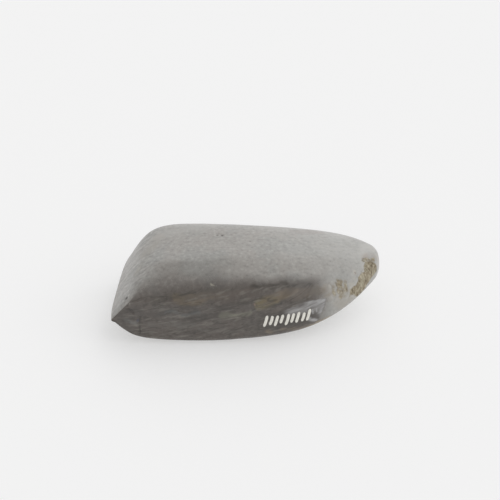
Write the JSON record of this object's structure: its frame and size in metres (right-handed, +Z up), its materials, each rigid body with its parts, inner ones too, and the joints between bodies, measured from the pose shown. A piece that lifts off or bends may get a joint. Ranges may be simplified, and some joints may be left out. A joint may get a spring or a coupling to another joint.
{
  "type": "adze blade",
  "caption": "Ground and polished stone adze blade with a thick rounded section, a steep bevel to a wide cutting edge, and a tapered blunt butt.",
  "frame": {"origin": "middle of the bounding box in plan, at the level of the flat spot it lies on", "axes": "+X from the cutting edge to the butt, +Y from the near side to the far side, +Z up, from the front face it lies on to the back with the bevel"},
  "size_m": [0.1074, 0.0502, 0.0298],
  "materials": {
    "stone": "ground and polished, fine-grained, with a rough brown patch at the butt"
  },
  "bodies": {
    "root": {"adze_blade": "stone"}
  },
  "joints": []
}
